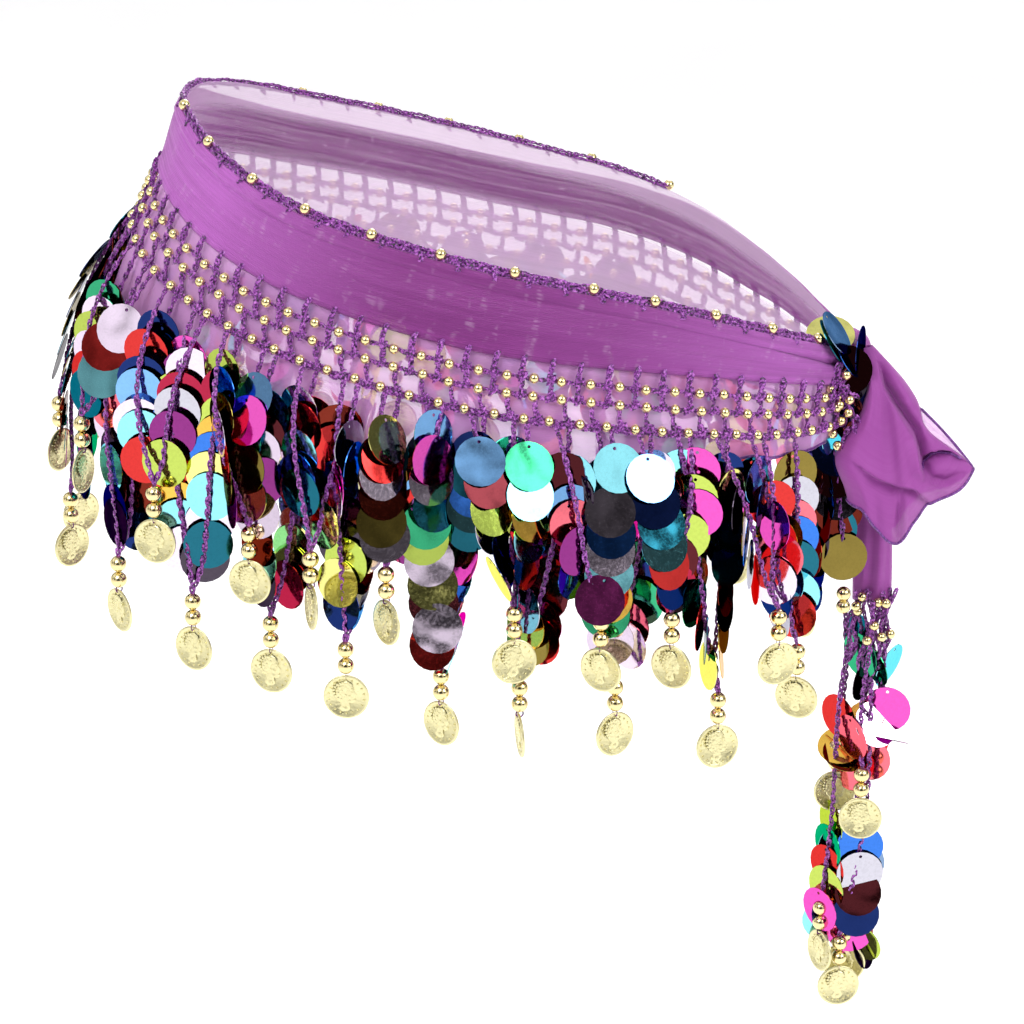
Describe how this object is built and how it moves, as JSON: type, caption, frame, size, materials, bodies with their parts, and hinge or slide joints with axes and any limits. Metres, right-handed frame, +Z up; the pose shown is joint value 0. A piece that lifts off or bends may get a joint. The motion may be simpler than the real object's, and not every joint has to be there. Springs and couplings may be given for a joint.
{
  "type": "belly dance hip scarf",
  "caption": "Worn hip scarf of sheer chiffon with an opaque waistband, a beaded crochet net and a fringe of mirror sequins and coins, knotted at one hip.",
  "frame": {"origin": "centre of the ring's top opening, where the wearer's hips hold the scarf", "axes": "+Z up; the knot is towards +X, the front towards -Y"},
  "size_m": [0.4392, 0.2825, 0.4423],
  "materials": {
    "chiffon": "opaque folded purple chiffon with a fine crinkle",
    "sheer_chiffon": "single layer of sheer purple chiffon, seen through",
    "crochet_yarn": "violet crochet yarn with a light sheen",
    "sequins": "flat mirror-film sequins in mixed colours",
    "gold_beads": "bright gold-plated round beads",
    "coins": "pale gold pressed coins with a low relief"
  },
  "bodies": {
    "root": {"sheer_cloth": "sheer_chiffon", "waistband": "chiffon", "top_edging": "crochet_yarn", "net_front": "crochet_yarn", "net_back": "crochet_yarn", "fringe_long_front": "sequins", "fringe_long_back": "sequins", "fringe_short_front": "sequins", "fringe_short_back": "sequins", "knot": "chiffon", "tie_end": "chiffon", "tail_cloth": "chiffon", "tail_fringe": "sequins"}
  },
  "joints": []
}
